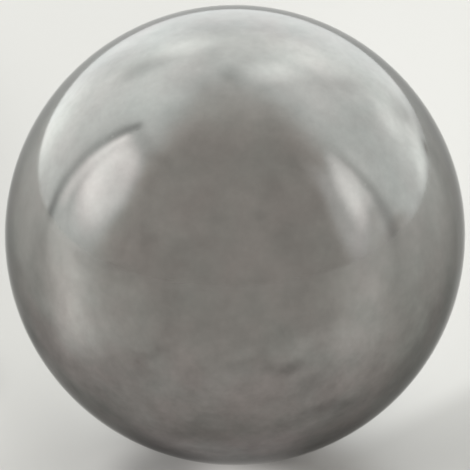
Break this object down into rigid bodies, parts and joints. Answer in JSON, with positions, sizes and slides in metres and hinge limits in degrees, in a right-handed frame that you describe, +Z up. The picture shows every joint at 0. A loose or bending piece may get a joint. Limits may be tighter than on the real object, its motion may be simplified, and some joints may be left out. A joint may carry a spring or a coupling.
{
  "type": "steel ball",
  "caption": "Solid steel ball: a plain true sphere, ground and polished all over, with a soft, slightly clouded mirror finish.",
  "frame": {"origin": "centre of the ball", "axes": "+Z up, from the point that the ball rests on through its centre; the ball is the same about every axis, so X and Y are free"},
  "size_m": [0.0254, 0.0254, 0.0254],
  "materials": {
    "steel": "polished"
  },
  "bodies": {
    "root": {"ball": "steel"}
  },
  "joints": []
}
